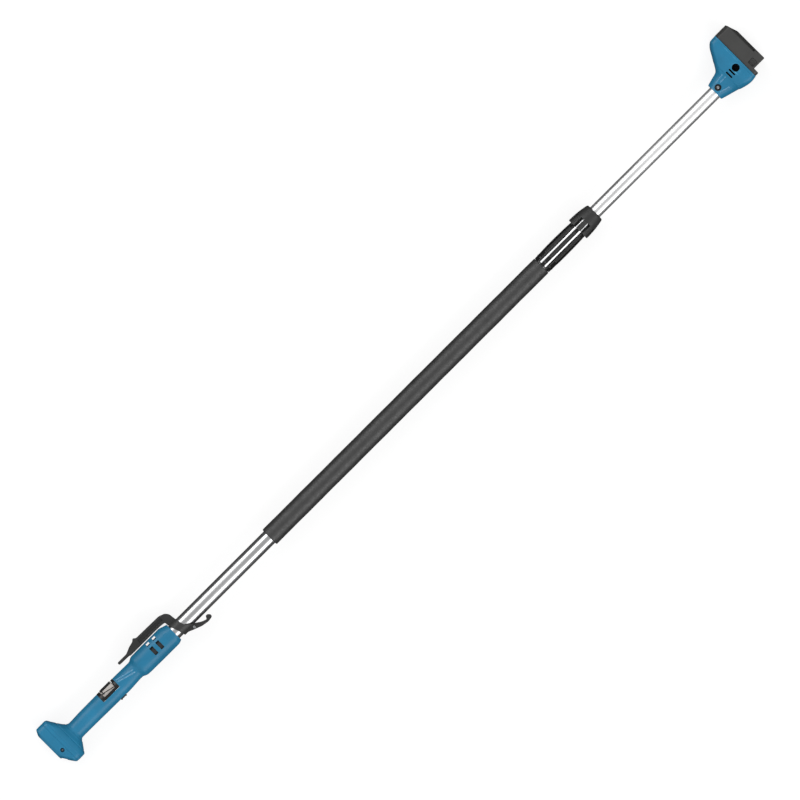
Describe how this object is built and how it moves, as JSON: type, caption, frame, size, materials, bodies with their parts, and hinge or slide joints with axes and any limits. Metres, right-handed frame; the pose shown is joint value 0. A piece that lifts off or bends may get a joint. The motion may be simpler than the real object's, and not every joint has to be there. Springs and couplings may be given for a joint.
{
  "type": "pole hedge trimmer",
  "caption": "Telescopic battery pole of a hedge trimmer, lying on its side: trigger handle with hook, foam-covered tube, lock nut, inner tube and plug head for the cutter.",
  "frame": {"origin": "on the pole's axis, in the plane of the battery seat inside the foot", "axes": "+X along the pole from the battery foot to the plug; +Y towards the trigger and the hook's arm; +Z sideways, up while the tool lies on its side"},
  "size_m": [2.024, 0.1289, 0.075],
  "materials": {
    "blue_housing": "semi-gloss moulded blue plastic with a fine grain",
    "black_plastic": "fine-grained glass-filled black plastic",
    "gloss_black": "polished black plastic",
    "charcoal_plastic": "dark grey moulded plastic",
    "taupe_plastic": "warm grey moulded plastic",
    "foam_grip": "matt closed-cell foam sleeve",
    "black_rubber": "soft black rubber",
    "natural_plastic": "uncoloured low-friction plastic",
    "red_insulation": "red wire insulation",
    "silver_tube": "drawn tube, satin silver",
    "steel": "zinc-plated steel",
    "contact_brass": "bright brass contact"
  },
  "bodies": {
    "pole": {"handle_shell_right": "blue_housing", "handle_shell_left": "blue_housing", "battery_seat": "black_plastic", "terminal_block": "black_plastic", "power_blade_positive": "contact_brass", "power_blade_negative": "contact_brass", "signal_blade": "contact_brass", "switch_body": "black_plastic", "trigger_bezel": "gloss_black", "trigger_pin": "steel", "trigger_spring": "steel", "lock_off_spring": "steel", "wire_red": "red_insulation", "wire_black": "black_rubber", "coiled_cable": "black_rubber", "outer_tube": "silver_tube", "tube_sleeve": "black_rubber", "foam_grip": "foam_grip", "collet_sleeve": "charcoal_plastic", "collet_ring": "natural_plastic", "foot_screw": "steel", "grip_screw_1": "steel", "grip_screw_2": "steel", "body_screw": "steel"},
    "trigger_unit": {"trigger": "taupe_plastic", "trigger_pad": "black_rubber"},
    "lock_off_unit": {"lock_off_button": "black_plastic"},
    "nut_unit": {"lock_nut": "charcoal_plastic"},
    "hook_unit": {"hook_bracket": "black_plastic", "hook_screw": "steel"},
    "extension": {"inner_tube": "silver_tube", "guide_bush": "natural_plastic", "tube_cable": "black_rubber", "head_shell_right": "blue_housing", "head_shell_left": "blue_housing", "cable_guide": "black_plastic", "plug_body": "charcoal_plastic", "plug_contact_1": "contact_brass", "plug_contact_2": "contact_brass", "plug_contact_3": "contact_brass", "latch_spring": "steel", "head_screw_1": "steel", "head_screw_2": "steel", "head_screw_3": "steel", "head_washer_1": "black_rubber", "head_washer_2": "black_rubber"},
    "latch_unit": {"plug_latch": "charcoal_plastic"}
  },
  "joints": [
    {"name": "telescope_slide", "type": "slide", "parent": "pole", "child": "extension", "axis": [1, 0, 0], "range_m": [-0.33, 0.4], "deforming": ["coiled_cable"]},
    {"name": "lock_nut_twist", "type": "hinge", "parent": "pole", "child": "nut_unit", "pos_m": [1.524, 0, 0], "axis": [1, 0, 0], "range_deg": [0, 110]},
    {"name": "trigger_press", "type": "hinge", "parent": "pole", "child": "trigger_unit", "pos_m": [0.147, 0.012, 0], "axis": [0, 0, 1], "range_deg": [-6, 0], "stiffness_Nm_per_rad": 1.6, "springref_deg": 3.44, "deforming": ["trigger_spring"]},
    {"name": "lock_off_press", "type": "slide", "parent": "pole", "child": "lock_off_unit", "axis": [0, 1, 0], "range_m": [0, 0.004], "stiffness_N_per_m": 800, "springref_m": -0.002, "deforming": ["lock_off_spring"]},
    {"name": "hook_swivel", "type": "hinge", "parent": "pole", "child": "hook_unit", "pos_m": [0.357, 0, 0], "axis": [1, 0, 0], "range_deg": [-90, 90]},
    {"name": "plug_latch_press", "type": "slide", "parent": "extension", "child": "latch_unit", "axis": [-1, 0, 0], "range_m": [0, 0.004], "stiffness_N_per_m": 1500, "springref_m": -0.002, "deforming": ["latch_spring"]}
  ]
}
